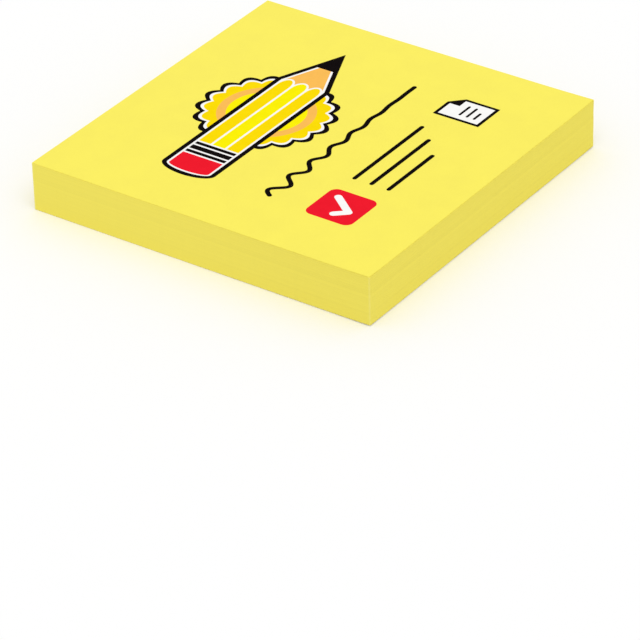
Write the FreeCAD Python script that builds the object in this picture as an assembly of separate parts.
import FreeCAD, Part
import os

# A square sticky note pad, lying flat. One hundred loose sheets are held together only by the
# tacky band on the back of each sheet, so the pad is bound along one edge and open along the
# other three. A printed sheet covers the top and a release sheet closes the bottom.
#
# Millimetres. The origin is the middle of the underside and +Z is up. +Y points from the free
# edge, where a note is lifted, to the bound edge, and +X runs along a line of writing.

# Sheets, all cut to one outline.
note_width = 76.0  # along X
note_depth = 76.0  # along Y, from the free edge to the bound edge
note_count = 100
note_paper = 0.09  # thickness of one note's paper
cover_paper = 0.09  # thickness of the printed sheet on top
backing_paper = 0.10  # thickness of the release sheet underneath

# The tacky band on the back of every note and of the cover.
band_width = 18.0  # along Y
band_inset = 1.0  # bare paper between the band and the bound edge
band_thickness = 0.01  # also the hairline gap between two sheets beside the band

# Planes that the pieces share.
left_edge = -note_width / 2
free_edge = -note_depth / 2
bound_edge = note_depth / 2
band_outer = bound_edge - band_inset
band_inner = band_outer - band_width
backing_top = backing_paper
notes_top = backing_top + note_count * (band_thickness + note_paper)


def side_outline(bottom, count, paper):
    """Side view of count glued sheets in Y and Z, from the lowest band up and round."""
    levels = [bottom + i * (band_thickness + paper) for i in range(count)]
    free_side = []
    bound_side = []
    for band_bottom in levels:
        sheet_bottom = band_bottom + band_thickness
        sheet_top = sheet_bottom + paper
        free_side += [
            (band_inner, band_bottom),
            (band_inner, sheet_bottom),
            (free_edge, sheet_bottom),
            (free_edge, sheet_top),
        ]
        bound_side += [
            (band_outer, band_bottom),
            (band_outer, sheet_bottom),
            (bound_edge, sheet_bottom),
            (bound_edge, sheet_top),
        ]
    return free_side + bound_side[::-1]


def glued_sheets(bottom, count, paper):
    """One solid of count sheets, each standing on its own tacky band."""
    points = [FreeCAD.Vector(left_edge, y, z) for y, z in side_outline(bottom, count, paper)]
    wire = Part.makePolygon(points + points[:1])
    return Part.Face(wire).extrude(FreeCAD.Vector(note_width, 0, 0))


def backing_sheet():
    """The release sheet that keeps the last note's band off the table."""
    corner = FreeCAD.Vector(left_edge, free_edge, 0)
    return Part.makeBox(note_width, note_depth, backing_paper, corner)


def note_block():
    """The notes, hairline gaps open on three sides and along the bare strip at the back."""
    return glued_sheets(backing_top, note_count, note_paper)


def cover_sheet():
    """The printed sheet, held to the first note by a band of its own."""
    return glued_sheets(notes_top, 1, cover_paper)


pieces = {
    "backing_sheet": backing_sheet(),
    "note_block": note_block(),
    "cover_sheet": cover_sheet(),
}

os.makedirs("parts", exist_ok=True)
for name, solid in pieces.items():
    if not solid.isValid():
        raise ValueError(f"{name} is not a valid solid")
    solid.exportStep(f"parts/{name}.step")
    print(f"{name}: {solid.Volume / 1000:.2f} cm3, {len(solid.Faces)} faces")
